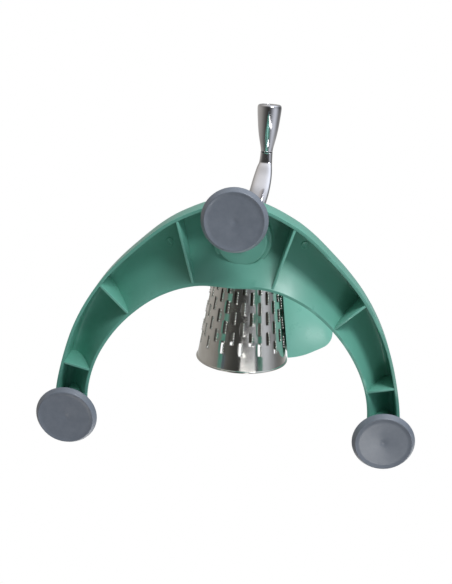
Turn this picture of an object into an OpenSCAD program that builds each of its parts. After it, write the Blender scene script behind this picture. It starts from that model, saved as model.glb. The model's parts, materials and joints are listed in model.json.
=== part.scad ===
// Table-top rotary cheese grater: an arch-shaped base on three suction feet,
// a leaning column with a bearing head, and a conical drum turned by a crank.
// X is across the arch, -Y is the front where the drum opens, Z is up.

/* [Overall] */
// Depth from the front feet to the end of the crank grip
depth = 254.4; // [240:0.2:270]
// Downward tilt of the drum's open end, in degrees
drive_tilt = 5; // [0:1:8]
// Height of the drive line at the face of the head
drive_height = 164; // [155:1:175]
// Sideways place of the drive line
drive_x = -5; // [-8:1:8]
// Angle of the crank from upright, in degrees
crank_rest = 7.4; // [0:0.2:15]

/* [Feet] */
// Distance between the two front feet
feet_width = 261; // [250:1:275]
// Distance from the front feet to the rear foot
feet_depth = 177; // [165:1:190]
// Radius of a suction cup's sealing lip
lip_r = 23; // [20:0.5:25]
// Radius of a cup's upper rim
cup_r = 25.5; // [24:0.5:27]
// Height of the cup's upper rim
cup_h = 4.2; // [3.5:0.1:6]
// Radius of a foot's neck
neck_r = 8; // [7:0.5:9]
// Radius of the steel stud in a foot
stud_r = 3; // [2.5:0.1:3.5]

/* [Base] */
// Height of the base's lower rim above the table
rim_h = 22.4; // [20:0.2:26]
// Height of the base's outer wall and roof above its rim
arch_h = 27; // [22:0.5:32]
// Thickness of the moulded walls
wall = 2.4; // [2:0.1:3]
// Inward lean of the outer wall, in degrees
wall_lean = 1; // [1:0.5:10]
// Radius of the roof's shoulder
shoulder_r = 5.5; // [4:0.5:8]
// Width of the flat lip along the arch's inner edge
lip_w = 2.2; // [1.6:0.2:4]
// Thickness of a stiffening rib
rib_t = 2; // [1.5:0.1:3]

/* [Drum] */
// Radius of the drum at its open end
drum_big_r = 44; // [40:0.5:46]
// Radius of the drum at its closed end
drum_small_r = 30.5; // [28:0.5:32]
// Length of the drum
drum_len = 91.5; // [85:0.5:93]
// Thickness of the drum's steel sheet
sheet_t = 0.8; // [0.6:0.1:1.2]
// Radius of the rolled bead on the drum's rim
bead_r = 1.1; // [0.8:0.1:1.5]
// Number of rows of cutting slots around the drum
slot_columns = 28; // [20:2:32]
// Number of slots in a row
slots_per_column = 4; // [3:1:5]
// Length of a cutting slot
slot_len = 12.5; // [10:0.5:14]
// Width of a cutting slot
slot_w = 3; // [2:0.5:4]

/* [Head and hopper] */
// Outer radius of the bearing head
head_r = 30; // [27:1:32]
// Length of the bearing head
head_len = 32; // [28:1:34]
// Height of the hopper's mouth above the drive line
hopper_top = 86; // [76:1:92]
// Space between the drum and the hopper's cut-out
drum_gap = 2.5; // [2:0.5:4]
// Wall thickness of the hopper
hopper_wall = 2.6; // [2.2:0.1:3]
// Width of the ledge that stops the food pusher
ledge_w = 2; // [1.5:0.5:3]
// Gap around the food pusher's plate
pusher_gap = 0.7; // [0.5:0.1:1]

/* [Drive] */
// Radius of the drive shaft
shaft_r = 5; // [4:0.5:6]
// Radial running clearance of the shaft in its bushes
run_gap = 0.05; // [0.02:0.01:0.08]
// Distance from the drive line to the crank grip's axis
crank_len = 69; // [60:1:75]
// Length of the crank grip
grip_len = 46.4; // [40:0.2:48]
// Radius of the crank grip at its free end
grip_big_r = 11.9; // [10:0.1:13]
// Radius of the crank grip at the arm
grip_small_r = 5.9; // [5:0.1:6.5]

/* [Hidden] */
$fn = 64;
eps = 0.01;
front_foot_y = -depth / 2 + cup_r;
rear_foot_y = front_foot_y + feet_depth;
feet = [[0, rear_foot_y], [feet_width / 2, front_foot_y], [-feet_width / 2, front_foot_y]];
// Centre that the arch and its ribs are laid out from
arch_y = front_foot_y + 5.7;
// Radii of the arch's outer and inner edges at every 15 degrees from the rear
arch_outer = [179.4, 171, 158.6, 151, 145.7, 143, 145, 149];
arch_inner = [110.1, 113.6, 114.6, 114.4, 115, 116.5, 117.8, 118];
arch_step = 15;
// The legs end in a half round about the front feet
leg_angle = 92.5;
leg_round = 6;
rib_angles = [15.8, 45.6, 76.4];
rib_draft = 0.5;
grip_start = 95;
grip_round = 2.5;
// Pedestal under the column
pedestal_y = 50.8;
pedestal_r = 23.5;
// Front face of the head, where the drive line's own frame starts, set so that
// the crank grip ends at the back of the overall depth
head_y = depth / 2 - (grip_start + grip_len) * cos(drive_tilt)
  + (crank_len * cos(crank_rest) - grip_big_r + grip_round) * sin(drive_tilt);
// Stations along the drive line, measured backwards from the head's face
drum_back = -7.5;
drum_front = drum_back - drum_len;
cover_t = 4;
cover_back = head_len + cover_t;
rear_bush_back = cover_back + 3;
hub_start = rear_bush_back + 1.2;
hub_end = hub_start + 13;
hub_r = 11;
flange_t = 4;

front_bush_r = 9;
screw_circle = head_r - 5.5;
screw_hole_r = 1.7;
// The column stands this far off the base's roof
roof_gap = 0.1;
hopper_back = -4;
// Corners of the hopper, seen from above in the drive line's frame
hopper_right = -86.2;
hopper_left = 14;
hopper_front = -94;
hopper_rear = 0;
hopper_floor = -8;
plate_h = hopper_top - 36;
plate_t = 7;
stem_r = 9;
knob_h = hopper_top + 14;
pusher_x = (hopper_left + hopper_right) / 2;
pusher_y = hopper_front / 2;
lug_w = 5;
slot_pitch = (drum_len - 15) / slots_per_column;

mint = [0.55, 0.8, 0.72];
deep_mint = [0.38, 0.68, 0.58];
grey = [0.42, 0.44, 0.48];
steel = [0.75, 0.75, 0.77];
chrome = [0.85, 0.85, 0.88];
nylon = [0.9, 0.89, 0.84];

// Smooth value between the entries of a list that is mirrored about its start
function smooth(list, at) =
  let (i = floor(at), f = at - i,
       a = list[abs(i - 1)], b = list[abs(i)], c = list[abs(i + 1)],
       d = list[min(abs(i + 2), len(list) - 1)])
  b + f * (c - a + f * (2 * a - 5 * b + 4 * c - d + f * (3 * b - a - 3 * c + d))) / 2;

// Outline of the arch's section: u runs inwards from the outer rim, v up from the rim
function arch_section(w, h, inset, lip, base) =
  let (r = shoulder_r - inset, top = h - inset,
       wall_v = top - r + r * sin(wall_lean),
       wall_u = inset / cos(wall_lean) + wall_v * tan(wall_lean),
       cu = wall_u + r * cos(wall_lean), cv = top - r, end = inset > 0 ? 0 : lip)
  concat([[inset / cos(wall_lean) + base * tan(wall_lean), base]],
    [for (a = [wall_lean : (90 - wall_lean) / 4 : 90.01]) [cu - r * cos(a), cv + r * sin(a)]],
    [for (s = [0.2 : 0.2 : 1.01])
      [cu + s * (w - cu), max(end, end + (top - end) * (1 - pow(min(s, 1), 1.7)))]],
    [[w, base]]);

// One ring of the arch: the section stood up at an angle around the arch's centre
function arch_ring(angle, squeeze, inset, lip, base) =
  let (a = min(abs(angle), leg_angle), at = a / arch_step,
       ro = smooth(arch_outer, at), ri = smooth(arch_inner, at), mid = (ro + ri) / 2,
       w = ro - ri - (inset > 0 ? lip_w : 0))
  [for (p = arch_section(w, arch_h, inset, lip, base))
    let (r = mid + (ro - p[0] - mid) * squeeze)
    [r * sin(angle), arch_y + r * cos(angle), rim_h + p[1]]];

// Solid form of the arch; inset and base shape the hollow that is cut from it
module arch_form(inset, lip, base) {
  round = leg_round - inset / 2.3;
  tip = [for (a = [10, 33, 56]) [leg_angle + round * cos(a), sin(a)]];
  skin([for (s = concat(tip, [for (a = [37 : -1 : -37]) [a * leg_angle / 37, 1]],
      [for (k = [2 : -1 : 0]) [-tip[k][0], tip[k][1]]]))
    arch_ring(s[0], s[1], inset, lip, base)]);
}

// Closed skin through a list of rings that all have the same number of points
module skin(rings) {
  n = len(rings[0]);
  last = len(rings) - 1;
  sides = [for (k = [0 : last - 1], j = [0 : n - 1])
    let (m = (j + 1) % n)
    each [[k * n + j, k * n + m, (k + 1) * n + m], [k * n + j, (k + 1) * n + m, (k + 1) * n + j]]];
  polyhedron(points = [for (ring = rings) each ring],
    faces = concat([[for (j = [n - 1 : -1 : 0]) j]], sides, [[for (j = [0 : n - 1]) last * n + j]]));
}

// Places things in the drive line's frame: Y runs back along it, Z is up
module on_drive_line() {
  translate([drive_x, head_y, drive_height]) rotate([drive_tilt, 0, 0]) children();
}

// Stands a thing that is built along Z on the drive line, starting at y
module along_y(y) {
  translate([0, y, 0]) rotate([-90, 0, 0]) children();
}

module base_arch() {
  color(deep_mint) difference() {
    arch_form(0, wall, 0);
    difference() {
      arch_form(wall, 0, -1);
      arch_ribs();
      for (foot = feet) translate([foot[0], foot[1], rim_h - 2]) hull() {
        cylinder(r = neck_r + 1.5, h = 1);
        cylinder(r = neck_r + 1, h = 60);
      }
      translate([drive_x, pedestal_y, rim_h + 13]) cylinder(r = pedestal_r, h = 60);
      translate([drive_x, pedestal_y, rim_h + 9.5]) cylinder(r = pedestal_r - 3.5, h = 60);
    }
    for (foot = feet) translate([foot[0], foot[1], rim_h - eps]) cylinder(r = stud_r, h = 15);
    translate([drive_x, pedestal_y, rim_h]) cylinder(r = stud_r, h = 60);
  }
}

// Ribs across the arch, drafted so that they grow thicker towards the roof
module arch_ribs() {
  for (side = [-1, 1], a = rib_angles)
    translate([0, arch_y, rim_h - 2]) rotate([0, 0, -side * a]) hull() {
      translate([-rib_t / 2, 100, 0]) cube([rib_t, 100, 1]);
      translate([-rib_t / 2 - rib_draft, 100, 59]) cube([rib_t + 2 * rib_draft, 100, 1]);
    }
}

module suction_cup(foot) {
  color(grey) translate([foot[0], foot[1], 0]) difference() {
    rotate_extrude() polygon([[0, 1.6], [1.6, 1.6], [3, 1.2], [12, 0.7], [lip_r - 2, 0.3], [lip_r - 1.6, 0],
      [lip_r, 0], [lip_r + 0.6, 0.8], [cup_r - 0.3, cup_h - 0.7], [cup_r, cup_h], [cup_r - 0.6, cup_h + 0.8],
      [16, cup_h + 2.6], [neck_r + 1, cup_h + 6], [neck_r, cup_h + 8], [neck_r, rim_h], [0, rim_h]]);
    translate([0, 0, cup_h]) cylinder(r = stud_r, h = rim_h);
  }
}

module foot_studs() {
  color(steel) for (foot = feet)
    translate([foot[0], foot[1], cup_h]) cylinder(r = stud_r, h = rim_h - cup_h + 15);
}

// Rings of the column, each [height, centre y, half depth, half width]
column_rings = [[26, 52.8, 24.5, 27], [42, 52.8, 24.5, 27], [56, 48.8, 20, 23], [75, 40.8, 17.5, 20],
  [100, 27.8, 16.5, 19], [122, 16.8, 16, 19.5], [146, 9.6, 15.5, 22]];

module column_form(inset, first) {
  steps = 32;
  skin([for (k = [first : len(column_rings) - 1]) let (ring = column_rings[k]) [for (i = [0 : steps - 1])
    let (a = -i * 360 / steps, c = cos(a), s = sin(a))
    [drive_x + (ring[3] - inset) * sign(c) * pow(abs(c), 0.8),
     ring[1] + (ring[2] - inset) * sign(s) * pow(abs(s), 0.8), ring[0]]]]);
}

module column() {
  color(mint) difference() {
    union() {
      column_form(0, 0);
      on_drive_line() along_y(0) cylinder(r = head_r, h = head_len);
    }
    column_form(wall, 2);
    arch_form(-roof_gap, wall, -5);
    on_drive_line() head_hollow();
    on_drive_line() along_y(head_len) cylinder(r = head_r + 0.1, h = cover_t + 8);
    translate([drive_x, pedestal_y, rim_h]) cylinder(r = stud_r, h = arch_h + 12);
  }
}

// The space inside the head, around the bosses that take the rear cover's screws
module head_hollow() {
  difference() {
    along_y(flange_t) cylinder(r = head_r - wall, h = head_len);
    for (a = [0 : 120 : 240]) rotate([0, a, 0]) translate([screw_circle, 0, 0]) difference() {
      along_y(0) cylinder(r = 4, h = head_len - 3.1);
      along_y(8) cylinder(r = screw_hole_r, h = head_len);
    }
  }
  along_y(-1) cylinder(r = front_bush_r + 0.05, h = 8);
  for (a = [45 : 90 : 315])
    rotate([0, a, 0]) translate([screw_circle, 0, 0]) along_y(-1) cylinder(r = screw_hole_r, h = 8);
}

module head_rear_cover() {
  color(mint) on_drive_line() difference() {
    union() {
      along_y(head_len) cylinder(r = head_r, h = cover_t);
      along_y(head_len - 3) cylinder(r = head_r - wall - 0.1, h = 4);
    }
    along_y(head_len - 10) cylinder(r = front_bush_r + 0.05, h = 20);
    for (a = [0 : 120 : 240]) rotate([0, a, 0]) translate([screw_circle, 0, 0])
      along_y(head_len - 5) cylinder(r = screw_hole_r, h = 12);
  }
}

module pan_screw(head, shank, length) {
  difference() {
    union() {
      cylinder(r = head, h = 2.2);
      translate([0, 0, -length]) cylinder(r = shank, h = length + eps);
    }
    translate([0, 0, 1.2]) {
      cube([head * 1.2, 0.9, 3], center = true);
      cube([0.9, head * 1.2, 3], center = true);
    }
  }
}

module cover_screws() {
  color(steel) on_drive_line() for (a = [0 : 120 : 240])
    rotate([0, a, 0]) translate([screw_circle, cover_back, 0]) rotate([-90, 0, 0]) pan_screw(3.2, 1.6, 7);
}

module column_bolt() {
  color(steel) translate([drive_x, pedestal_y, rim_h + 7]) {
    cylinder(r = 6, h = 2.5);
    cylinder(r = stud_r - 0.05, h = arch_h + 5);
  }
}

module bush(start, length, flange_start) {
  difference() {
    union() {
      along_y(start) cylinder(r = front_bush_r, h = length);
      along_y(flange_start) cylinder(r = front_bush_r + 3, h = 2);
    }
    along_y(start - 1) cylinder(r = shaft_r + run_gap, h = length + 4);
  }
}

module front_bush() {
  color(nylon) on_drive_line() bush(0.2, 11, flange_t + 0.05);
}

module rear_bush() {
  color(nylon) on_drive_line() bush(head_len - 8, rear_bush_back - head_len + 8, head_len - 5.1);
}

module thrust_washer() {
  color(nylon) on_drive_line() difference() {
    along_y(rear_bush_back) cylinder(r = 9, h = 1);
    along_y(rear_bush_back - 1) cylinder(r = shaft_r + run_gap, h = 4);
  }
}

// Outline of the hopper seen from above, moved inwards by inset. Each arc is
// [centre x, centre y, radius, first angle, turn]; straight walls join the arcs.
module hopper_outline(inset) {
  arcs = [[hopper_left - 8, hopper_rear - 8, 8, 90, -90], [hopper_left - 8, hopper_front + 8, 8, 0, -90],
    [-38, hopper_front + 60, 60, -90, -29], [hopper_right + 16, hopper_front + 27.6, 16, -119, -61],
    [hopper_right + 32, hopper_rear - 32, 32, 180, -90]];
  polygon([for (arc = arcs, i = [0 : 8])
    let (r = arc[2] - inset, a = arc[3] + i * arc[4] / 8)
    [arc[0] + r * cos(a), arc[1] + r * sin(a)]]);
}

// Cone around the drum that the hopper and the food pusher keep out of
module drum_room(gap) {
  along_y(drum_front - 20) cylinder(r1 = drum_big_r + gap, r2 = drum_big_r + gap, h = 20);
  along_y(drum_front - eps) cylinder(r1 = drum_big_r + gap, r2 = drum_small_r + gap, h = drum_len + 3);
}

module hopper() {
  color(mint) on_drive_line() difference() {
    union() {
      difference() {
        translate([0, 0, hopper_floor]) linear_extrude(hopper_top - hopper_floor) hopper_outline(0);
        translate([0, 0, hopper_floor + hopper_wall]) linear_extrude(hopper_top)
          hopper_outline(hopper_wall + ledge_w);
        translate([0, 0, plate_h]) linear_extrude(hopper_top) hopper_outline(hopper_wall);
      }
      translate([0, 0, hopper_top - 4]) difference() {
        linear_extrude(4) hopper_outline(-1.6);
        translate([0, 0, -1]) linear_extrude(6) hopper_outline(hopper_wall);
      }
      along_y(hopper_back) cylinder(r = head_r, h = -hopper_back);
    }
    drum_room(drum_gap);
    along_y(hopper_back - 1) cylinder(r = 13, h = 10);
    for (a = [45 : 90 : 315]) rotate([0, a, 0]) translate([screw_circle, 0, 0]) {
      along_y(-10) cylinder(r = screw_hole_r, h = 12);
      along_y(hopper_back - 6) cylinder(r = 3.2, h = 6);
    }
  }
}

module hopper_screws() {
  color(steel) on_drive_line() for (a = [45 : 90 : 315])
    rotate([0, a, 0]) translate([screw_circle, hopper_back, 0]) rotate([90, 0, 0]) pan_screw(3, 1.6, 8);
}

module pusher_plate() {
  color(mint) on_drive_line() difference() {
    union() {
      translate([0, 0, plate_h + 0.3]) linear_extrude(plate_t) hopper_outline(hopper_wall + pusher_gap);
      translate([pusher_x, pusher_y, plate_h]) cylinder(r = stem_r, h = knob_h - plate_h + 6);
      for (turn = [0 : 90 : 270]) translate([pusher_x, pusher_y, plate_h + plate_t])
        rotate([90, 0, turn]) linear_extrude(3, center = true)
          polygon([[0, 0], [18, 0], [stem_r, 14], [0, 14]]);
    }
    drum_room(drum_gap);
  }
}

module pusher_knob() {
  color(mint) on_drive_line() translate([pusher_x, pusher_y, knob_h]) difference() {
    rotate_extrude() polygon([[0, 0], [13, 0], [16, 1.5], [25, 5], [27, 7.5], [27, 9.5], [25, 12],
      [18, 14.5], [9, 16], [0, 16.4]]);
    translate([0, 0, -1]) cylinder(r = stem_r + 0.05, h = 7.1);
  }
}

module drive_shaft() {
  color(steel) on_drive_line() {
    along_y(drum_back - 3.2) cylinder(r = shaft_r, h = hub_end - drum_back + 3.2);
    along_y(drum_back - 11.5) cylinder(r = shaft_r - 1, h = 9);
  }
}

module shaft_clip() {
  color(steel) on_drive_line() difference() {
    along_y(12.5) cylinder(r = 8, h = 1.2);
    along_y(12) cylinder(r = shaft_r, h = 3);
    translate([-2, 12, 0]) cube([4, 3, 12]);
  }
}

module drive_coupling() {
  color(nylon) on_drive_line() difference() {
    union() {
      along_y(drum_back + 0.2) cylinder(r = 11.5, h = -drum_back - 0.6);
      for (turn = [0 : 120 : 240])
        rotate([0, turn, 0]) translate([-lug_w / 2, drum_back - 1.4, 6]) cube([lug_w, 4, 5]);
    }
    along_y(drum_back - 5) cylinder(r = shaft_r, h = 20);
  }
}

// Middle line of the crank arm, from the hub up and back to the grip
crank_line = [[hub_start + 6.5, 0], [hub_start + 6.5, 10], [hub_start + 9, 20], [hub_start + 14, 31],
  [hub_start + 21, 43], [hub_start + 30, 54], [hub_start + 38, 62], [hub_start + 43, 67],
  [grip_start - 3, crank_len], [grip_start, crank_len]];
// Half width and half thickness of the arm at each point of its middle line
crank_size = [[9.5, 3.2], [9.5, 3.2], [9.6, 3.2], [9.7, 3.2], [9.6, 3.3], [9, 3.6], [7.8, 4.2], [6.5, 5],
  [5.9, 5.9], [5.9, 5.9]];

module crank_bar() {
  steps = 24;
  last = len(crank_line) - 1;
  skin([for (k = [0 : last])
    let (ahead = crank_line[min(k + 1, last)] - crank_line[max(k - 1, 0)], along = ahead / norm(ahead))
    [for (i = [0 : steps - 1])
      let (a = -i * 360 / steps, across = crank_size[k][0] * sign(cos(a)) * pow(abs(cos(a)), 0.7),
           out = crank_size[k][1] * sign(sin(a)) * pow(abs(sin(a)), 0.7))
      [across, crank_line[k][0] + out * along[1], crank_line[k][1] - out * along[0]]]]);
}

// Turns the crank about the drive line to its place at rest
module on_crank() {
  on_drive_line() rotate([0, -crank_rest, 0]) children();
}

module crank_arm() {
  color(chrome) on_crank() difference() {
    union() {
      crank_bar();
      along_y(hub_start) cylinder(r = hub_r, h = hub_end - hub_start);
    }
    along_y(hub_start - 1) cylinder(r = shaft_r, h = hub_end);
    translate([0, 0, crank_len]) along_y(grip_start - 8) cylinder(r = 2, h = 12);
  }
}

module crank_screw() {
  color(steel) on_crank() translate([0, hub_end, 0]) rotate([-90, 0, 0]) difference() {
    cylinder(r = 6.5, h = 3);
    translate([0, 0, 1.6]) cylinder(r = 2.6, h = 3, $fn = 6);
  }
}

module grip_spindle() {
  color(steel) on_crank() translate([0, 0, crank_len]) {
    along_y(grip_start - 8) cylinder(r = 2, h = grip_len + 2);
    along_y(grip_start + grip_len - 6) cylinder(r = 3.5, h = 2);
  }
}

module crank_grip() {
  color(chrome) on_crank() translate([0, 0, crank_len]) difference() {
    along_y(grip_start + 0.3) rotate_extrude() polygon([[0, 0], [grip_small_r - 0.3, 0], [grip_small_r, 0.4],
      [grip_small_r + 0.5, 4], [grip_small_r + 1.6, 9], [grip_small_r + 2.9, 15], [grip_big_r - 1.8, 23],
      [grip_big_r - 0.8, 32], [grip_big_r, grip_len - 6], [grip_big_r, grip_len - 3],
      [grip_big_r - 0.8, grip_len - 1], [grip_big_r - grip_round, grip_len - 0.3], [0, grip_len - 0.3]]);
    along_y(grip_start) cylinder(r = 2 + run_gap, h = grip_len);
    along_y(grip_start + grip_len - 6.3) cylinder(r = 5, h = 10);
    along_y(grip_start + grip_len - 1.5) cylinder(r = 8, h = 4);
  }
}

module grip_end_cap() {
  color(chrome) on_crank() translate([0, 0, crank_len])
    along_y(grip_start + grip_len - 1.5) cylinder(r = 7.95, h = 1.5);
}

module drum_cone() {
  color(steel) on_drive_line() difference() {
    along_y(drum_front) rotate_extrude() {
      polygon([[drum_big_r - sheet_t, 0], [drum_big_r, 0], [drum_small_r, drum_len],
        [drum_small_r - sheet_t, drum_len]]);
      translate([drum_big_r, 0]) circle(r = bead_r, $fn = 24);
    }
    for (k = [0 : slot_columns - 1], i = [0 : slots_per_column - 1]) {
      along = 15 + i * slot_pitch + (k % 2) * slot_pitch / 2;
      rotate([0, k * 360 / slot_columns, 0])
        translate([-slot_w / 2, drum_front + along, drum_small_r - 6]) cube([slot_w, slot_len, 22]);
    }
  }
}

module drum_end_plate() {
  color(steel) on_drive_line() difference() {
    along_y(drum_back - 1.5) cylinder(r = drum_small_r - sheet_t, h = 1.5);
    along_y(drum_back - 3) cylinder(r = shaft_r + run_gap, h = 5);
    for (turn = [0 : 120 : 240])
      rotate([0, turn, 0]) translate([-lug_w / 2 - 0.3, drum_back - 4, 5.5]) cube([lug_w + 0.6, 6, 6]);
    for (turn = [0 : 60 : 300])
      rotate([0, turn + 30, 0]) translate([21, 0, 0]) along_y(drum_back - 3) cylinder(r = 4.5, h = 6);
  }
}

module drum_rivets() {
  color(steel) on_drive_line() for (turn = [0 : 60 : 300])
    rotate([0, turn, 0]) translate([20, 0, 0]) along_y(drum_back - 2.3) cylinder(r = 2, h = 0.8);
}

module drum_lock_knob() {
  color(grey) on_drive_line() difference() {
    along_y(drum_back - 15) rotate_extrude() polygon([[0, 0], [7.5, 0], [9, 1.5], [9, 11.5], [12, 11.5],
      [12, 13.3], [0, 13.3]]);
    for (turn = [0 : 45 : 315])
      rotate([0, turn, 0]) translate([10.2, 0, 0]) along_y(drum_back - 16) cylinder(r = 2, h = 12.5);
    along_y(drum_back - 12) cylinder(r = shaft_r - 1 + run_gap, h = 12);
    along_y(drum_back - 3.4) cylinder(r = shaft_r + run_gap, h = 4);
  }
}

base_arch();
suction_cup(feet[0]);  // rear_suction_cup
suction_cup(feet[1]);  // left_suction_cup
suction_cup(feet[2]);  // right_suction_cup
foot_studs();
column();
head_rear_cover();
cover_screws();
column_bolt();
front_bush();
rear_bush();
thrust_washer();
hopper();
hopper_screws();
pusher_plate();
pusher_knob();
drive_shaft();
shaft_clip();
drive_coupling();
crank_arm();
crank_screw();
grip_spindle();
crank_grip();
grip_end_cap();
drum_cone();
drum_end_plate();
drum_rivets();
drum_lock_knob();
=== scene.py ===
import json
import math

import bmesh
import bpy
from mathutils import Matrix, Vector


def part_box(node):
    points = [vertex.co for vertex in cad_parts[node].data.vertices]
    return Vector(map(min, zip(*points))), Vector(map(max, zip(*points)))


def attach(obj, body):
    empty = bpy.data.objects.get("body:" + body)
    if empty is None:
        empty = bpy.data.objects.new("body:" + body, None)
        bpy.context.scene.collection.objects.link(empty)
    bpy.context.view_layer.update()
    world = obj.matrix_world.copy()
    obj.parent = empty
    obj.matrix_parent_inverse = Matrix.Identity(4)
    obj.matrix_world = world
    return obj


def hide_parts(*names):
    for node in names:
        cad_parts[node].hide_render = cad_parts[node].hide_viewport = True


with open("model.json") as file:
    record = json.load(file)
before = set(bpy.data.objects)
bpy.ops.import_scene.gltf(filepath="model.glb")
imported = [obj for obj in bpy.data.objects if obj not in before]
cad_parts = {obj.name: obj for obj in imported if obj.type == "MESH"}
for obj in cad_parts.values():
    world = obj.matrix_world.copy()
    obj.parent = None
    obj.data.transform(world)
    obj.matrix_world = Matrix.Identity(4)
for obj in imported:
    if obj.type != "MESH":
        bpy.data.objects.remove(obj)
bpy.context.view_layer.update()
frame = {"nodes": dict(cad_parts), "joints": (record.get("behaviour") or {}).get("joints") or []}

MM = 0.001
JOINTS = {joint["name"]: joint for joint in frame["joints"]}


# ---------------------------------------------------------------- places

SPIN = JOINTS["crank_spin"]
AXIS = Vector(SPIN["axis"])
DRIVE_TILT = math.atan2(AXIS.z, AXIS.y)
DRIVE = Matrix.Translation(Vector(SPIN["pos_m"])) @ Matrix.Rotation(DRIVE_TILT, 4, "X")
GRIP_AT = Vector(JOINTS["grip_spin"]["pos_m"])
GRIP_LOCAL = DRIVE.inverted() @ GRIP_AT
CRANK_REST = math.atan2(-GRIP_LOCAL.x, GRIP_LOCAL.z)
CRANK = DRIVE @ Matrix.Rotation(-CRANK_REST, 4, "Y")
CRANK_LEN = math.hypot(GRIP_LOCAL.x, GRIP_LOCAL.z) / MM


def along_axis(place, station, up=0.0):
    """Frame whose Z runs back along the drive line from a station, in mm."""
    lifted = Matrix.Translation(Vector((0, station * MM, up * MM)))
    return place @ lifted @ Matrix.Rotation(math.radians(-90), 4, "X")


# ---------------------------------------------------------------- mesh helpers

def make_piece(name, points, faces, place, sharp=32):
    """New object from points in mm, set in a frame, with smooth shading."""
    mesh = bpy.data.meshes.new(name)
    mesh.from_pydata([place @ (Vector(p) * MM) for p in points], [], faces)
    mesh.validate()
    obj = bpy.data.objects.new(name, mesh)
    bpy.context.scene.collection.objects.link(obj)
    clean(obj, sharp)
    return obj


def clean(obj, sharp):
    work = bmesh.new()
    work.from_mesh(obj.data)
    bmesh.ops.remove_doubles(work, verts=work.verts, dist=1e-6)
    bmesh.ops.recalc_face_normals(work, faces=work.faces)
    work.to_mesh(obj.data)
    work.free()
    obj.data.shade_smooth()
    obj.data.set_sharp_from_angle(angle=math.radians(sharp))


def loft(rings, first=0, cap=True):
    """Points and faces of a skin through rings that all have the same number of points."""
    n = len(rings[0])
    points = [p for ring in rings for p in ring]
    faces = []
    for k in range(len(rings) - 1):
        for j in range(n):
            m = (j + 1) % n
            faces.append((first + k * n + j, first + k * n + m,
                          first + (k + 1) * n + m, first + (k + 1) * n + j))
    if cap:
        faces.append(tuple(first + j for j in reversed(range(n))))
        faces.append(tuple(first + (len(rings) - 1) * n + j for j in range(n)))
    return points, faces


def lathe(profile, segments=96):
    """Solid turned about Z from (radius, height) points; both ends lie on the axis."""
    rings = []
    for radius, height in profile:
        rings.append([(max(radius, 1e-4) * math.cos(2 * math.pi * i / segments),
                       max(radius, 1e-4) * math.sin(2 * math.pi * i / segments), height)
                      for i in range(segments)])
    return loft(rings)


def tube(profile, segments):
    """Ring turned about Z from a closed list of (radius, height) points."""
    n = len(profile)
    points, faces = [], []
    for i in range(segments):
        a = 2 * math.pi * i / segments
        points += [(r * math.cos(a), r * math.sin(a), z) for r, z in profile]
        ahead = (i + 1) % segments
        for j in range(n):
            m = (j + 1) % n
            faces.append((i * n + j, i * n + m, ahead * n + m, ahead * n + j))
    return points, faces


def rounded(corners, radius=1.0, steps=3):
    """Profile with each inner corner replaced by a short arc."""
    out = [corners[0]]
    for before, here, after in zip(corners, corners[1:], corners[2:]):
        a, b, c = Vector(before), Vector(here), Vector(after)
        reach = min(radius, (a - b).length * 0.45, (c - b).length * 0.45)
        start, end = b + (a - b).normalized() * reach, b + (c - b).normalized() * reach
        for i in range(steps + 1):
            t = i / steps
            out.append(tuple(start * (1 - t) ** 2 + b * 2 * t * (1 - t) + end * t * t))
    out.append(corners[-1])
    return out


def spline(table, per_span):
    """Smooth curve through rows of numbers."""
    rows = [Vector(row) for row in table]
    out = []
    for i in range(len(rows) - 1):
        a, b = rows[max(i - 1, 0)], rows[i]
        c, d = rows[i + 1], rows[min(i + 2, len(rows) - 1)]
        for k in range(per_span):
            f = k / per_span
            out.append(b + f * (c - a + f * (2 * a - 5 * b + 4 * c - d
                                             + f * (3 * b - a - 3 * c + d))) / 2)
    return out + [rows[-1]]


def modifier(obj, kind, **settings):
    added = obj.modifiers.new(kind.lower(), kind)
    for key, value in settings.items():
        setattr(added, key, value)
    return added


def apply_modifiers(obj, sharp=32):
    graph = bpy.context.evaluated_depsgraph_get()
    graph.update()
    mesh = bpy.data.meshes.new_from_object(obj.evaluated_get(graph))
    obj.modifiers.clear()
    obj.data = mesh
    mesh.shade_smooth()
    mesh.set_sharp_from_angle(angle=math.radians(sharp))


def soften(node, width, sharp, segments=2):
    """Copy of a CAD node with its moulded edges rounded off."""
    obj = bpy.data.objects.new(node + "_moulded", frame["nodes"][node].data.copy())
    obj.data.materials.clear()
    bpy.context.scene.collection.objects.link(obj)
    work = bmesh.new()
    work.from_mesh(obj.data)
    bmesh.ops.remove_doubles(work, verts=work.verts, dist=2e-6)
    bmesh.ops.dissolve_limit(work, angle_limit=math.radians(0.4), verts=work.verts,
                             edges=work.edges)
    work.to_mesh(obj.data)
    work.free()
    modifier(obj, "BEVEL", width=width * MM, segments=segments, limit_method="ANGLE",
             angle_limit=math.radians(38), use_clamp_overlap=True)
    apply_modifiers(obj, sharp)
    return obj


def finish_piece(obj, body, slot, look, *nodes):
    obj.data.materials.clear()
    obj.data.materials.append(look)
    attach(obj, body)
    if nodes:
        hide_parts(*nodes)
    return obj


# ---------------------------------------------------------------- materials

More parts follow.
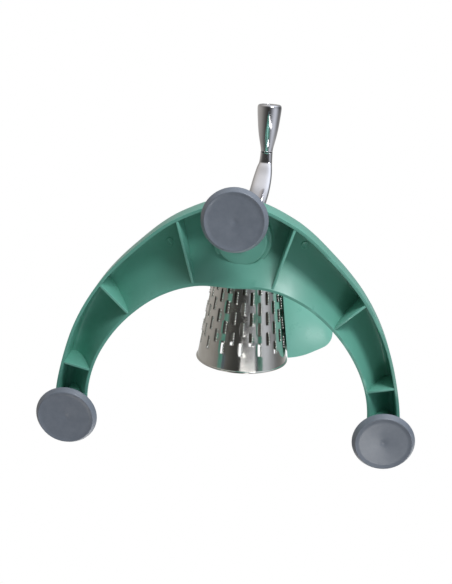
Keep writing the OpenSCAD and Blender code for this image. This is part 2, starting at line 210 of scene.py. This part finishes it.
class Look:
    """Small helper for a node tree around one Principled shader."""

    def __init__(self, name, **sockets):
        self.material = bpy.data.materials.new(name)
        self.material.use_nodes = True
        self.nodes = self.material.node_tree.nodes
        self.links = self.material.node_tree.links
        self.shader = self.nodes["Principled BSDF"]
        for key, value in sockets.items():
            self.shader.inputs[key.replace("_", " ")].default_value = value
        self.where = self.nodes.new("ShaderNodeTexCoord").outputs["Object"]

    def link(self, source, target):
        self.links.new(source, target)
        return source

    def noise(self, scale, detail=3.0, rough=0.5, stretch=(1, 1, 1)):
        mapping = self.nodes.new("ShaderNodeMapping")
        mapping.inputs["Scale"].default_value = stretch
        self.link(self.where, mapping.inputs["Vector"])
        texture = self.nodes.new("ShaderNodeTexNoise")
        texture.inputs["Scale"].default_value = scale
        texture.inputs["Detail"].default_value = detail
        texture.inputs["Roughness"].default_value = rough
        self.link(mapping.outputs["Vector"], texture.inputs["Vector"])
        return texture.outputs["Fac"]

    def span(self, value, low, high, start=0.3, end=0.7):
        node = self.nodes.new("ShaderNodeMapRange")
        node.inputs["From Min"].default_value = start
        node.inputs["From Max"].default_value = end
        node.inputs["To Min"].default_value = low
        node.inputs["To Max"].default_value = high
        self.link(value, node.inputs["Value"])
        return node.outputs["Result"]

    def blend(self, factor, first, second):
        node = self.nodes.new("ShaderNodeMix")
        node.data_type = "RGBA"
        self.link(factor, node.inputs["Factor"])
        for colour, socket in ((first, node.inputs["A"]), (second, node.inputs["B"])):
            if hasattr(colour, "links"):
                self.link(colour, socket)
            else:
                socket.default_value = (*colour, 1)
        return node.outputs["Result"]

    def edges(self):
        """1 along sharp outer edges, where the painted highlight goes, 0 on open faces."""
        geometry = self.nodes.new("ShaderNodeNewGeometry")
        return self.span(geometry.outputs["Pointiness"], 0, 1, 0.53, 0.60)

    def bump(self, height, distance, strength=1.0):
        node = self.nodes.new("ShaderNodeBump")
        node.inputs["Strength"].default_value = strength
        node.inputs["Distance"].default_value = distance
        self.link(height, node.inputs["Height"])
        previous = self.shader.inputs["Normal"].links
        if previous:
            self.link(previous[0].from_socket, node.inputs["Normal"])
        self.link(node.outputs["Normal"], self.shader.inputs["Normal"])

    def colour(self, socket):
        self.link(socket, self.shader.inputs["Base Color"])

    def rough(self, socket):
        self.link(socket, self.shader.inputs["Roughness"])


def mint_plastic(name, dark, light, rough, grain=0.00002, flow=0.00003):
    """Injection-moulded plastic: cloudy colour, a painted highlight along sharp edges, faint flow lines
    and a fine grain.
    """
    look = Look(name, Coat_Weight=0.12, Coat_Roughness=0.16, IOR=1.49,
                Subsurface_Weight=0.05, Subsurface_Scale=0.002)
    look.shader.inputs["Subsurface Radius"].default_value = (0.6, 1.0, 0.85)
    cloud = look.span(look.noise(26, 4, 0.55), 0, 1, 0.25, 0.75)
    body = look.blend(cloud, dark, light)
    # Painted highlight: sharp convex edges are lightened towards a brighter mint.
    edge_highlight = tuple(min(1.0, c * 1.28 + 0.03) for c in light)
    look.colour(look.blend(look.span(look.edges(), 0, 0.55, 0, 1), body, edge_highlight))
    look.rough(look.span(look.noise(85, 5, 0.6), rough - 0.06, rough + 0.10, 0.2, 0.8))
    look.bump(look.noise(34, 2, 0.4, stretch=(1, 1, 0.18)), flow)
    look.bump(look.noise(2600, 2, 0.5), grain)
    return look.material


def rubber(name, dark, light):
    look = Look(name, Sheen_Weight=0.12, Sheen_Roughness=0.5, IOR=1.5,
                Coat_Weight=0.30, Coat_Roughness=0.18)
    dust = look.span(look.noise(120, 6, 0.65), 0, 1, 0.35, 0.8)
    look.colour(look.blend(dust, dark, light))
    look.rough(look.span(look.noise(60, 4), 0.36, 0.52, 0.2, 0.8))
    look.bump(look.noise(1900, 3, 0.6), 0.00002)
    return look.material


def metal(name, dark, light, low, high, grain, stretch=(1, 1, 1), depth=0.000004):
    """Plated, turned or brushed metal, by how its grain is stretched."""
    look = Look(name, Metallic=1.0)
    lines = look.noise(grain, 4, 0.6, stretch)
    look.colour(look.blend(look.span(look.noise(45, 3), 0, 1, 0.25, 0.75), dark, light))
    look.rough(look.span(lines, low, high, 0.25, 0.75))
    look.bump(lines, depth)
    return look.material


def nylon(name):
    look = Look(name, Subsurface_Weight=0.2, Subsurface_Scale=0.002, IOR=1.53)
    look.colour(look.blend(look.span(look.noise(90, 4), 0, 1), (0.60, 0.57, 0.48), (0.74, 0.71, 0.62)))
    look.rough(look.span(look.noise(300, 4), 0.38, 0.55))
    look.bump(look.noise(1500, 3), 0.00002)
    return look.material


# Painted shade: the base takes a darker copy of the same mint plastic as the body, standing for the shade
# inside the arch.
BASE_PAINTED_SHADE = mint_plastic("base_plastic", (0.15, 0.45, 0.35), (0.19, 0.52, 0.42), 0.32)
BODY = mint_plastic("body_plastic", (0.29, 0.77, 0.62), (0.35, 0.83, 0.69), 0.28)
CUP = rubber("cup_rubber", (0.20, 0.23, 0.28), (0.25, 0.28, 0.335))
KNOB = rubber("knob_rubber", (0.060, 0.065, 0.080), (0.10, 0.105, 0.125))
STEEL = metal("screw_steel", (0.50, 0.50, 0.50), (0.68, 0.68, 0.67), 0.22, 0.42, 700)
SHAFT = metal("shaft_steel", (0.50, 0.50, 0.51), (0.68, 0.68, 0.69), 0.18, 0.34, 420, (1, 12, 1))
NYLON = nylon("bush_nylon")
CHROME = metal("crank_chrome", (0.78, 0.77, 0.80), (0.86, 0.85, 0.88), 0.04, 0.10, 120, depth=0.000001)
DRUM = metal("drum_steel", (0.70, 0.68, 0.64), (0.82, 0.81, 0.78), 0.10, 0.20, 380, (1, 0.06, 1),
             depth=0.000002)
# Painted shade: a dark copy of the drum steel for the inside of the cone, standing for the shade inside
# the drum.
DRUM_PAINTED_SHADE = metal("drum_steel_painted_shade", (0.08, 0.08, 0.07), (0.14, 0.14, 0.12), 0.30, 0.45, 380)


# ---------------------------------------------------------------- base

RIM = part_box("base_arch")[0].z / MM
ARCH_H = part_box("base_arch")[1].z / MM - RIM
FEET = {}
for cup in ("rear_suction_cup", "left_suction_cup", "right_suction_cup"):
    low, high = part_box(cup)
    FEET[cup] = ((low.x + high.x) / 2 / MM, (low.y + high.y) / 2 / MM)
ARCH_Y = FEET["left_suction_cup"][1] + 5.7
ARCH_OUTER = (179.4, 171, 158.6, 151, 145.7, 143, 145, 149)
ARCH_INNER = (110.1, 113.6, 114.6, 114.4, 115, 116.5, 117.8, 118)
WALL, WALL_LEAN, SHOULDER, LIP_W = 2.4, math.radians(1), 5.5, 2.2
LEG_ANGLE, LEG_ROUND = 92.5, 6.0
RIB_ANGLES = (15.8, 45.6, 76.4)
PEDESTAL = ((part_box("column_bolt")[0].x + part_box("column_bolt")[1].x) / 2 / MM, 50.8)


def edge_radius(table, angle):
    at = min(abs(angle), LEG_ANGLE) / 15
    i, f = int(at), at - int(at)
    last = len(table) - 1
    a, b = table[abs(i - 1)], table[i]
    c, d = table[min(i + 1, last)], table[min(i + 2, last)]
    return b + f * (c - a + f * (2 * a - 5 * b + 4 * c - d + f * (3 * b - a - 3 * c + d))) / 2


def arch_section(w, inset, lip, base):
    """Outline of the arch's section: u runs inwards from the outer rim, v up from the rim."""
    r, top = SHOULDER - inset, ARCH_H - inset
    wall_v = top - r + r * math.sin(WALL_LEAN)
    wall_u = inset / math.cos(WALL_LEAN) + wall_v * math.tan(WALL_LEAN)
    cu, cv = wall_u + r * math.cos(WALL_LEAN), top - r
    out = [(inset / math.cos(WALL_LEAN) + base * math.tan(WALL_LEAN), base)]
    for k in range(9):
        a = WALL_LEAN + (math.pi / 2 - WALL_LEAN) * k / 8
        out.append((cu - r * math.cos(a), cv + r * math.sin(a)))
    for k in range(1, 11):
        s = k / 10
        out.append((cu + s * (w - cu), max(lip, lip + (top - lip) * (1 - s ** 1.7))))
    return out + [(w, base)]


def arch_ring(angle, squeeze, inset, lip, base, trim=0.0):
    ro, ri = edge_radius(ARCH_OUTER, angle), edge_radius(ARCH_INNER, angle)
    mid, w = (ro + ri) / 2, ro - ri - trim
    turned = math.radians(angle)
    ring = []
    for u, v in arch_section(w, inset, lip, base):
        r = mid + (ro - u - mid) * squeeze
        ring.append((r * math.sin(turned), ARCH_Y + r * math.cos(turned), RIM + v))
    return ring


def arch_stations(inset):
    """Angle and squeeze of each ring, with the legs' ends rounded about the front feet."""
    round_by = LEG_ROUND - inset / 2.3
    tip = [(LEG_ANGLE + round_by * math.cos(math.radians(a)), math.sin(math.radians(a)))
           for a in (7, 20, 33, 46, 59, 72)]
    middle = [(a * LEG_ANGLE / 60, 1.0) for a in range(60, -61, -1)]
    return tip + middle + [(-a, s) for a, s in reversed(tip)]


def build_shell():
    rings = []
    for (oa, osq), (ia, isq) in zip(arch_stations(0), arch_stations(WALL)):
        outer = arch_ring(oa, osq, 0, WALL, 0)
        inner = arch_ring(ia, isq, WALL, 0, 0, LIP_W)
        rings.append(outer + list(reversed(inner)))
    points, faces = loft(rings, cap=False)
    n, half = len(rings[0]), len(rings[0]) // 2
    for start, flip in ((0, False), ((len(rings) - 1) * n, True)):
        outer = [start + j for j in range(half)]
        inner = [start + j for j in range(half, n)]
        rim = [start, start + half - 1, start + half, start + n - 1]
        for face in (outer, inner, rim):
            faces.append(tuple(reversed(face)) if flip else tuple(face))
    shell = make_piece("base_arch_shell", points, faces, Matrix.Identity(4), 36)
    modifier(shell, "BEVEL", width=0.55 * MM, segments=3, limit_method="ANGLE",
             angle_limit=math.radians(50))
    apply_modifiers(shell, 36)
    return shell


def roof_height(x, y, inset):
    """Height of the roof above the rim over a point."""
    angle = math.degrees(math.atan2(x, y - ARCH_Y))
    r = math.hypot(x, y - ARCH_Y)
    ro, ri = edge_radius(ARCH_OUTER, angle), edge_radius(ARCH_INNER, angle)
    u = ro - r
    section = arch_section(ro - ri, inset, 2.4, 0)
    for (u0, v0), (u1, v1) in zip(section, section[1:]):
        if u0 <= u <= u1 and u1 > u0:
            return v0 + (v1 - v0) * (u - u0) / (u1 - u0)
    return 2.4


def build_boss(name, centre, radius, bottom, edge=0.8, embed=1.2, segments=96):
    """Round boss whose free end faces down and whose root is buried in the roof."""
    x0, y0 = centre
    profile = [(radius * k / 10, bottom) for k in range(10)]
    profile += [(radius - edge * (1 - math.sin(a)), bottom + edge * (1 - math.cos(a)))
                for a in (0, math.pi / 6, math.pi / 3, math.pi / 2)]
    rings = []
    for r, height in profile + [(radius + 0.1, None)]:
        ring = []
        for i in range(segments):
            a = 2 * math.pi * i / segments
            x, y = x0 + max(r, 0.01) * math.cos(a), y0 + max(r, 0.01) * math.sin(a)
            spoke = Vector((x, y - ARCH_Y))
            reach = edge_radius(ARCH_OUTER, math.degrees(math.atan2(x, y - ARCH_Y))) - 1.0
            if spoke.length > reach:
                spoke *= reach / spoke.length
            x, y = spoke.x, ARCH_Y + spoke.y
            roof = roof_height(x, y, 0) - embed
            ring.append((x, y, RIM + (roof if height is None else min(height, roof))))
        rings.append(ring)
    points, faces = loft(rings)
    return make_piece(name, points, faces, Matrix.Identity(4), 36)


def build_rib(index, angle):
    """Drafted rib across the channel, with its edges set into the walls."""
    ro, ri = edge_radius(ARCH_OUTER, angle), edge_radius(ARCH_INNER, angle)
    outline = arch_section(ro - ri - LIP_W + 0.9, WALL - 0.9, 0.9, 0.25)
    turned = math.radians(angle)
    out = Vector((math.sin(turned), math.cos(turned), 0))
    side = Vector((math.cos(turned), -math.sin(turned), 0))
    rings = []
    for sign in (-1, 1):
        ring = []
        for u, v in outline:
            half = 1.0 + 0.012 * v
            p = out * (ro - u) + side * sign * half
            ring.append((p.x, ARCH_Y + p.y, RIM + v))
        rings.append(ring)
    points, faces = loft(rings)
    rib = make_piece(f"base_rib_{index}", points, faces, Matrix.Identity(4), 36)
    modifier(rib, "BEVEL", width=0.35 * MM, segments=2, limit_method="ANGLE",
             angle_limit=math.radians(60))
    apply_modifiers(rib, 36)
    return rib


def build_ejector(index, angle, share, radius=2.6):
    """Round mark that an ejector pin leaves under the roof."""
    ro, ri = edge_radius(ARCH_OUTER, angle), edge_radius(ARCH_INNER, angle)
    r = ri + (ro - ri) * share
    x, y = r * math.sin(math.radians(angle)), ARCH_Y + r * math.cos(math.radians(angle))
    rings = []
    for size, drop in ((0.01, 0.35), (radius - 0.5, 0.35), (radius, 0.55), (radius + 0.35, 0.5),
                       (radius + 0.6, 0.1), (radius + 0.7, -0.6)):
        ring = []
        for i in range(32):
            a = 2 * math.pi * i / 32
            px, py = x + size * math.cos(a), y + size * math.sin(a)
            ring.append((px, py, RIM + roof_height(px, py, 0) - 2.55 - drop))
        rings.append(ring)
    points, faces = loft(rings)
    return make_piece(f"base_ejector_mark_{index}", points, faces, Matrix.Identity(4), 36)


base_pieces = [build_shell()]
base_pieces += [build_rib(i, side * a) for i, (side, a) in
                enumerate((s, a) for s in (-1, 1) for a in RIB_ANGLES)]
for cup, centre in FEET.items():
    base_pieces.append(build_boss("base_boss_" + cup.split("_")[0], centre, 9.5, 0.3))
base_pieces.append(build_boss("base_pedestal_outer", PEDESTAL, 23.5, 13.0, 1.0))
base_pieces.append(build_boss("base_pedestal_inner", PEDESTAL, 20.0, 9.5, 1.0))
for index, (angle, share) in enumerate(((-40.1, 0.28), (-21.0, 0.75), (39.1, 0.22), (21.3, 0.66),
                                        (66.9, 0.22), (-67.1, 0.42))):
    base_pieces.append(build_ejector(index, angle, share))
# Every base piece takes the darker, painted-shade copy of the mint plastic.
for obj in base_pieces:
    finish_piece(obj, "root", "base_plastic", BASE_PAINTED_SHADE, "base_arch")


# ---------------------------------------------------------------- suction cups

CUP_PROFILE = [(0.02, 1.5), (0.9, 1.5), (1.5, 1.42), (2.4, 1.28), (5, 1.12), (12, 0.75), (19, 0.36),
               (21.9, 0.2), (22.15, 0.06), (22.4, 0.0), (22.8, 0.02), (23.1, 0.2), (23.4, 0.75),
               (24.2, 2.2), (25.15, 3.5), (25.5, 4.15), (25.42, 4.6), (25.0, 4.95), (22, 5.5),
               (17, 6.45), (12.5, 7.7), (10.2, 9.0), (8.9, 10.4), (8.2, 12.3), (8.0, 15),
               (8.0, 21.6), (7.7, 22.3), (0.02, 22.35)]
for cup, (x, y) in FEET.items():
    points, faces = lathe(CUP_PROFILE, 128)
    place = Matrix.Translation(Vector((x, y, 0)) * MM)
    finish_piece(make_piece(cup + "_moulded", points, faces, place, 40), "root", "cup_plastic",
                 CUP, cup)


# ---------------------------------------------------------------- drum

DRUM_LEN, DRUM_BACK = 91.5, -7.5
DRUM_FRONT = DRUM_BACK - DRUM_LEN
DRUM_BIG, DRUM_SMALL, SHEET = 44.0, 30.5, 0.8
COLUMNS, SLOT_LEN, SLOT_W, SLOT_PITCH = 28, 12.5, 3.0, 19.125
TEETH = 4


def drum_radius(s):
    return DRUM_BIG + (DRUM_SMALL - DRUM_BIG) * s / DRUM_LEN


def build_drum():
    """Cone of steel sheet; each slot has one edge raised into a row of teeth."""
    tooth = SLOT_LEN / TEETH / 2
    offsets = (-1.0, -0.72, -0.5, 0.0, 0.5, 0.72)
    points, faces, index = [], [], {}

    wanted = {0.0, 3.0, 7.0, DRUM_LEN}
    for i in range(8):
        along = 15 + i * SLOT_PITCH / 2
        wanted.update(along + t * tooth for t in range(-1, 2 * TEETH + 2))
    stations = [0.0]
    for s in sorted(wanted):
        if s - stations[-1] > 0.02 and s <= DRUM_LEN:
            stations.append(s)
    step = 2 * math.pi / COLUMNS
    across = COLUMNS * len(offsets)

    def slot_at(k, s):
        for i in range(4):
            start = 15 + i * SLOT_PITCH + (k % 2) * SLOT_PITCH / 2
            if start - 0.01 <= s <= start + SLOT_LEN + 0.01:
                return (s - start) / tooth
        return None

    for j, s in enumerate(stations):
        radius = drum_radius(s) - 0.05
        half = SLOT_W / 2 / radius
        for k in range(COLUMNS):
            for m, share in enumerate(offsets):
                angle = -step / 2 if m == 0 else 2 * half * share
                lift = 0.0
                place = slot_at(k, s)
                if place is not None:
                    bulge = math.sin(math.pi * min(max(place / (2 * TEETH), 0), 1)) ** 0.5
                    tip = round(place) % 2 == 1
                    if m == 1:
                        lift = 0.25 * bulge
                    if m == 2:
                        lift = (0.55 if tip else 0.3) * bulge
                        angle += (0.45 if tip else -0.1) / radius * bulge
                    if m == 4:
                        lift = -0.15 * bulge
                a = k * step + angle
                r = radius + lift
                index[j, k * len(offsets) + m] = len(points)
                points.append((r * math.sin(a), r * math.cos(a), s))
    for j in range(len(stations) - 1):
        middle = (stations[j] + stations[j + 1]) / 2
        for c in range(across):
            k, m = divmod(c, len(offsets))
            spots = (stations[j], middle, stations[j + 1])
            if m in (2, 3) and all(slot_at(k, s) is not None for s in spots):
                continue
            n = (c + 1) % across
            faces.append((index[j, c], index[j, n], index[j + 1, n], index[j + 1, c]))
    drum = make_piece("drum_grating_cone", points, faces, along_axis(DRIVE, DRUM_FRONT), 24)
    work = bmesh.new()
    work.from_mesh(drum.data)
    loose = [v for v in work.verts if not v.link_faces]
    bmesh.ops.delete(work, geom=loose, context="VERTS")
    axis_point = along_axis(DRIVE, DRUM_FRONT) @ Vector((0, 0, 0))
    outward = sum((f.normal.dot((f.calc_center_median() - axis_point)
                   - AXIS * (f.calc_center_median() - axis_point).dot(AXIS))) for f in work.faces)
    if outward < 0:
        bmesh.ops.reverse_faces(work, faces=work.faces)
    work.to_mesh(drum.data)
    work.free()
    # The inner faces and the slot rims take the second material, the dark painted-shade steel.
    modifier(drum, "SOLIDIFY", thickness=SHEET * MM, offset=-1.0, use_even_offset=False,
             material_offset=1, material_offset_rim=1)
    return drum


drum = build_drum()
# Second material: the painted-shade copy of the drum steel.
for look in (DRUM, DRUM_PAINTED_SHADE):
    drum.data.materials.append(look)
apply_modifiers(drum, 24)
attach(drum, "drum")
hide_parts("drum_cone")


def build_teeth(per_slot=5, size=1.0, segments=10):
    """Rounded teeth punched up along one long edge of every slot."""
    points, faces = [], []
    for k in range(COLUMNS):
        for i in range(4 * per_slot):
            row, place = divmod(i, per_slot)
            along = (15 + row * SLOT_PITCH + (k % 2) * SLOT_PITCH / 2
                     + (place + 0.5) * SLOT_LEN / per_slot)
            r = drum_radius(along)
            a = k * 2 * math.pi / COLUMNS - (SLOT_W / 2 + 0.15) / r  # just outside the slot's edge
            out = Vector((math.sin(a), math.cos(a), 0))
            side = Vector((math.cos(a), -math.sin(a), 0))
            rings = []
            for lift in (-0.75, -0.2, 0.35, 0.8, 1.0):
                wide = size * math.sqrt(max(1 - lift * lift, 0.0004))
                rings.append([tuple(out * (r - 0.05 + lift * size)
                                    + side * wide * math.cos(2 * math.pi * j / segments)
                                    + Vector((0, 0, along + wide * math.sin(2 * math.pi * j / segments))))
                              for j in range(segments)])
            more_points, more_faces = loft(rings, len(points))
            points += more_points
            faces += more_faces
    return make_piece("drum_teeth", points, faces, along_axis(DRIVE, DRUM_FRONT), 60)


finish_piece(build_teeth(), "drum", "drum_steel", DRUM, "drum_cone")
bead = [(DRUM_BIG - 0.1 + 1.05 * math.cos(2 * math.pi * i / 20), 1.05 * math.sin(2 * math.pi * i / 20))
        for i in range(20)]
points, faces = tube(bead, 160)
finish_piece(make_piece("drum_rim_bead", points, faces, along_axis(DRIVE, DRUM_FRONT), 60), "drum",
             "drum_steel", DRUM, "drum_cone")


# ---------------------------------------------------------------- crank

HUB_START, HUB_END, HUB_R, GRIP_START, GRIP_LEN = 40.2, 53.2, 11.0, 95.0, 46.4
CRANK_LINE = [(HUB_START + 6.5, 0), (HUB_START + 6.5, 10), (HUB_START + 9, 20), (HUB_START + 14, 31),
              (HUB_START + 21, 43), (HUB_START + 30, 54), (HUB_START + 38, 62), (HUB_START + 43, 67),
              (GRIP_START - 3, CRANK_LEN), (GRIP_START, CRANK_LEN)]
CRANK_SIZE = [(9.5, 3.2), (9.5, 3.2), (9.6, 3.2), (9.7, 3.2), (9.6, 3.3), (9, 3.6), (7.8, 4.2),
              (6.5, 5), (5.9, 5.9), (5.9, 5.9)]


def build_arm():
    rows = spline([line + size for line, size in zip(CRANK_LINE, CRANK_SIZE)], 6)
    rings = []
    for k, row in enumerate(rows):
        ahead = rows[min(k + 1, len(rows) - 1)] - rows[max(k - 1, 0)]
        along = Vector((ahead[0], ahead[1])).normalized()
        ring = []
        for i in range(40):
            a = 2 * math.pi * i / 40
            c, s = math.cos(a), math.sin(a)
            x = row[2] * math.copysign(abs(c) ** 0.62, c)
            out = row[3] * math.copysign(abs(s) ** 0.62, s)
            ring.append((x, row[0] + out * along[1], row[1] - out * along[0]))
        rings.append(ring)
    points, faces = loft(rings)
    return make_piece("crank_arm_bar", points, faces, CRANK, 50)


finish_piece(build_arm(), "crank", "crank_chrome", CHROME, "crank_arm")
points, faces = lathe(rounded([(0.02, 0), (HUB_R - 0.2, 0), (HUB_R, HUB_END - HUB_START),
                               (0.02, HUB_END - HUB_START)], 1.2, 4), 96)
finish_piece(make_piece("crank_arm_hub", points, faces, along_axis(CRANK, HUB_START), 40), "crank",
             "crank_chrome", CHROME, "crank_arm")

GRIP_PROFILE = spline([(5.6, 0.0), (5.9, 0.5), (6.4, 4), (7.5, 9), (8.8, 15), (10.1, 23), (11.1, 32),
                       (11.8, 39.5), (11.9, 43)], 4)
grip_outline = ([(0.02, 0.0)] + [tuple(p) for p in GRIP_PROFILE]
                + [(11.6, 44.6), (10.9, 45.5), (9.8, 46.0), (8.3, 46.1), (8.2, 45.8), (8.05, 45.8),
                   (8.0, 44.8), (0.02, 44.8)])
points, faces = lathe(grip_outline, 96)
finish_piece(make_piece("crank_grip_turned", points, faces,
                        along_axis(CRANK, GRIP_START + 0.3, CRANK_LEN), 50),
             "grip", "crank_chrome", CHROME, "crank_grip")
points, faces = lathe([(0.02, 0.0), (7.6, 0.0), (7.9, 0.2), (7.9, 1.0), (7.6, 1.3), (5, 1.45),
                       (0.02, 1.5)], 72)
finish_piece(make_piece("crank_grip_cap", points, faces,
                        along_axis(CRANK, GRIP_START + GRIP_LEN - 1.5, CRANK_LEN), 40),
             "grip", "crank_chrome", CHROME, "grip_end_cap")


# ---------------------------------------------------------------- moulded body

finish_piece(soften("hopper", 0.7, 34), "root", "body_plastic", BODY, "hopper")
finish_piece(soften("column", 0.6, 34), "root", "body_plastic", BODY, "column")
finish_piece(soften("head_rear_cover", 0.7, 34), "root", "body_plastic", BODY, "head_rear_cover")
finish_piece(soften("pusher_plate", 0.7, 34), "pusher", "body_plastic", BODY, "pusher_plate")
finish_piece(soften("pusher_knob", 0.8, 34, 3), "pusher", "body_plastic", BODY, "pusher_knob")
finish_piece(soften("drum_lock_knob", 0.5, 34), "lock_knob", "cup_plastic", KNOB, "drum_lock_knob")

LEFT_AS_CAD = {"foot_studs": STEEL, "cover_screws": STEEL, "column_bolt": STEEL, "front_bush": NYLON,
               "rear_bush": NYLON, "thrust_washer": NYLON, "hopper_screws": STEEL, "drive_shaft": SHAFT,
               "shaft_clip": STEEL, "drive_coupling": NYLON, "crank_screw": STEEL,
               "grip_spindle": STEEL, "drum_end_plate": DRUM, "drum_rivets": STEEL}
for node, look in LEFT_AS_CAD.items():
    slots = frame["nodes"][node].material_slots
    if not slots:
        frame["nodes"][node].data.materials.append(look)
    for entry in frame["nodes"][node].material_slots:
        entry.material = look


# ---------------------------------------------------------------- floor, light and camera

def build_floor():
    """Pale table top that is seen from above and can be looked through from below."""
    size = 30.0
    mesh = bpy.data.meshes.new("table_top")
    mesh.from_pydata([(-size, -size, 0), (size, -size, 0), (size, size, 0), (-size, size, 0)], [],
                     [(0, 1, 2, 3)])
    floor = bpy.data.objects.new("table_top", mesh)
    bpy.context.scene.collection.objects.link(floor)
    look = Look("table_top", Roughness=0.8)
    look.colour(look.blend(look.span(look.noise(60, 3), 0, 1), (0.80, 0.80, 0.80), (0.84, 0.84, 0.84)))
    geometry = look.nodes.new("ShaderNodeNewGeometry")
    clear = look.nodes.new("ShaderNodeBsdfTransparent")
    mix = look.nodes.new("ShaderNodeMixShader")
    look.link(geometry.outputs["Backfacing"], mix.inputs[0])
    look.link(look.shader.outputs[0], mix.inputs[1])
    look.link(clear.outputs[0], mix.inputs[2])
    look.link(mix.outputs[0], look.nodes["Material Output"].inputs["Surface"])
    floor.data.materials.append(look.material)
    floor.visible_shadow = False
    floor.visible_diffuse = False
    floor.visible_glossy = False
    floor.visible_transmission = False


def build_world():
    """White backdrop for the camera, and soft studio lamps all around for light and reflections."""
    world = bpy.data.worlds.new("studio")
    bpy.context.scene.world = world
    world.use_nodes = True
    nodes, links = world.node_tree.nodes, world.node_tree.links
    nodes.clear()
    where = nodes.new("ShaderNodeTexCoord").outputs["Generated"]

    def math_node(operation, value, other):
        node = nodes.new("ShaderNodeMath")
        node.operation = operation
        node.inputs[1].default_value = other
        links.new(value, node.inputs[0])
        return node.outputs["Value"]

    total = None
    for direction, level, tint in STUDIO_LAMPS:
        towards = nodes.new("ShaderNodeVectorMath")
        towards.operation = "DOT_PRODUCT"
        towards.inputs[1].default_value = Vector(direction).normalized()
        links.new(where, towards.inputs[0])
        facing = math_node("MAXIMUM", towards.outputs["Value"], 0.0)
        lobe = nodes.new("ShaderNodeVectorMath")
        lobe.operation = "MULTIPLY_ADD"
        links.new(math_node("POWER", facing, LAMP_FOCUS), lobe.inputs[0])
        lobe.inputs[1].default_value = [level * part for part in tint]
        if total is None:
            lobe.inputs[2].default_value = STUDIO_AMBIENT
        else:
            links.new(total, lobe.inputs[2])
        total = lobe.outputs["Vector"]
    studio = nodes.new("ShaderNodeBackground")
    links.new(total, studio.inputs["Color"])
    backdrop = nodes.new("ShaderNodeBackground")
    backdrop.inputs["Color"].default_value = (1, 1, 1, 1)
    path = nodes.new("ShaderNodeLightPath")
    mix = nodes.new("ShaderNodeMixShader")
    links.new(path.outputs["Is Camera Ray"], mix.inputs[0])
    links.new(studio.outputs[0], mix.inputs[1])
    links.new(backdrop.outputs[0], mix.inputs[2])
    output = nodes.new("ShaderNodeOutputWorld")
    links.new(mix.outputs[0], output.inputs["Surface"])


def add_light(name, place, target, size, power, colour=(1, 1, 1)):
    data = bpy.data.lights.new(name, "AREA")
    data.shape = "RECTANGLE"
    data.size, data.size_y = size
    data.energy = power
    data.color = colour
    lamp = bpy.data.objects.new(name, data)
    lamp.location = place
    lamp.rotation_euler = (Vector(target) - Vector(place)).to_track_quat("-Z", "Y").to_euler()
    bpy.context.scene.collection.objects.link(lamp)


WARM, PLAIN, COOL = (1.0, 0.96, 0.90), (1.0, 1.0, 1.0), (0.92, 0.97, 1.06)
LAMP_FOCUS = 6.0
STUDIO_AMBIENT = (0.035, 0.036, 0.034)
# Direction, brightness and tint of each broad lamp
STUDIO_LAMPS = (((-0.38, -0.88, 0.28), 1.5, PLAIN), ((-0.61, 0.61, -0.50), 0.25, COOL),
                ((-0.87, -0.2, -0.50), 0.60, COOL), ((0.87, 0.0, -0.50), 0.10, WARM),
                ((-0.38, 0.92, 0.09), 1.1, COOL), ((0.45, 0.88, 0.09), 0.5, WARM),
                ((0.92, -0.1, 0.09), 0.25, WARM), ((0.64, 0.0, 0.77), 0.35, WARM),
                ((0.0, -0.64, 0.77), 0.5, PLAIN), ((-0.2, 0.3, 0.93), 0.28, PLAIN))


def build_camera():
    """Looks steeply up at the underside, from behind and below the base."""
    forward = Vector((0.0524, -0.3604, 0.9313)).normalized()
    place = Vector((-0.03763, 0.25314, -0.60628))
    level_right = forward.cross(Vector((0, 0, 1))).normalized()
    level_up = level_right.cross(forward)
    roll = math.radians(12.08)
    up = level_up * math.cos(roll) - level_right * math.sin(roll)
    right = forward.cross(up)
    turn = Matrix((right, up, -forward)).transposed()
    data = bpy.data.cameras.new("camera")
    data.sensor_fit = "AUTO"
    data.sensor_width = 36
    data.lens = 52.5
    data.shift_x, data.shift_y = -0.0151, 0.0031
    data.clip_start, data.clip_end = 0.01, 100
    camera = bpy.data.objects.new("camera", data)
    camera.matrix_world = Matrix.Translation(place) @ turn.to_4x4()
    bpy.context.scene.collection.objects.link(camera)
    bpy.context.scene.camera = camera


build_floor()
build_world()
add_light("key_low_rear", (-0.38, 0.80, -0.34), (-0.02, 0, 0.03), (0.36, 0.22), 4.4, (0.97, 0.99, 1.0))
add_light("window_low_front", (-0.30, -0.52, -0.76), (-0.10, -0.10, 0.0), (0.10, 0.20), 0.8)
add_light("strip_low", (-0.38, -0.14, -0.80), (0, -0.10, 0.15), (0.05, 0.80), 0.35)
add_light("fill_low_front", (0.55, -0.75, -0.55), (0, -0.05, 0.03), (0.4, 0.4), 1.0, (1.0, 0.98, 0.95))
build_camera()
bpy.context.scene.view_settings.view_transform = "Standard"
bpy.context.scene.view_settings.look = "None"
